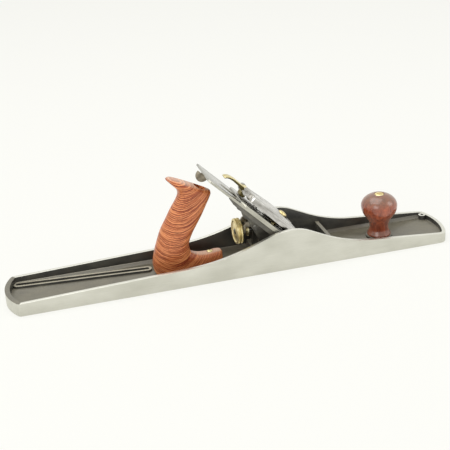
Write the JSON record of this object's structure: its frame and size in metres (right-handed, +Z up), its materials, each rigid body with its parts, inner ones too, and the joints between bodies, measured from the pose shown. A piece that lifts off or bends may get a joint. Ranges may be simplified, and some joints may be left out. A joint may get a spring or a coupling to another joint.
{
  "type": "jointer plane",
  "caption": "Long metal bench plane with sweeping side walls, sloped cutter under a lever cap, brass depth wheel, curved wooden rear handle and turned front knob.",
  "frame": {"origin": "middle of the sole's flat underside", "axes": "+X along the sole from heel to toe, +Y to the plane's left side, +Z up from the sole"},
  "size_m": [0.557, 0.075, 0.1313],
  "materials": {
    "cast_body": "ground sides and sole, black baked enamel inside",
    "cast_frog": "black baked enamel with machined faces",
    "steel": "turned and plated steel",
    "yoke_iron": "dark cast iron",
    "dark_steel": "blued steel",
    "cutter_steel": "ground tool steel",
    "cap_plate": "satin nickel plate on iron",
    "brass": "satin brass",
    "tote_wood": "oiled rosewood-like hardwood, satin",
    "knob_wood": "polished rosewood-like hardwood"
  },
  "bodies": {
    "plane_body": {"body_casting": "cast_body", "tote": "tote_wood", "tote_rod": "steel", "tote_nut": "brass", "tote_screw": "brass", "knob": "knob_wood", "knob_rod": "steel", "knob_nut": "brass", "frog_screws": "steel", "frog_washers": "steel"},
    "frog_body": {"frog": "cast_frog", "depth_stud": "steel", "yoke_pin": "steel", "lateral_rivet": "steel", "lever_cap_screw": "brass", "frog_clip": "steel", "frog_clip_screw": "steel"},
    "frog_adjuster": {"frog_adjusting_screw": "steel"},
    "wheel": {"depth_wheel": "brass"},
    "yoke_lever": {"yoke": "yoke_iron"},
    "lateral": {"lateral_lever": "dark_steel", "lateral_roller": "steel"},
    "cutter": {"iron": "cutter_steel", "cap_iron": "cutter_steel", "cap_iron_screw": "steel"},
    "cap": {"lever_cap": "cap_plate", "cap_spring": "steel", "spring_rivet": "steel", "cam_pin": "steel"},
    "cam": {"cam_lever": "brass"}
  },
  "joints": [
    {"name": "frog_shift", "type": "slide", "parent": "plane_body", "child": "frog_body", "axis": [1, 0, 0], "range_m": [-0.001, 0.0015]},
    {"name": "frog_screw_turn", "type": "hinge", "parent": "frog_body", "child": "frog_adjuster", "pos_m": [0.026, 0, 0.0095], "axis": [1, 0, 0], "range_deg": [-340, 510]},
    {"name": "depth_wheel_turn", "type": "hinge", "parent": "frog_body", "child": "wheel", "pos_m": [0.008, 0, 0.045], "axis": [1, 0, 0], "range_deg": [-540, 540]},
    {"name": "yoke_turn", "type": "hinge", "parent": "frog_body", "child": "yoke_lever", "pos_m": [0.02598, 0, 0.055], "axis": [0, 1, 0], "range_deg": [-9.2, 9.2]},
    {"name": "cutter_depth", "type": "slide", "parent": "frog_body", "child": "cutter", "axis": [-0.7071, 0, 0.7071], "range_m": [-0.00229, 0.00229]},
    {"name": "lateral_turn", "type": "hinge", "parent": "frog_body", "child": "lateral", "pos_m": [0.01185, 0, 0.08415], "axis": [0.7071, 0, 0.7071], "range_deg": [-5, 5]},
    {"name": "cap_slide", "type": "slide", "parent": "frog_body", "child": "cap", "axis": [-0.7071, 0, 0.7071], "range_m": [0, 0.012]},
    {"name": "cam_turn", "type": "hinge", "parent": "cap", "child": "cam", "pos_m": [0.01907, 0, 0.09843], "axis": [0, 1, 0], "range_deg": [0, 110]}
  ],
  "couplings": [
    {"joint": "frog_screw_turn", "follows": "frog_shift", "rad_per_m": 5927.5},
    {"joint": "depth_wheel_turn", "follows": "cutter_depth", "rad_per_m": -4116.3},
    {"joint": "yoke_turn", "follows": "cutter_depth", "rad_per_m": -69.444}
  ]
}
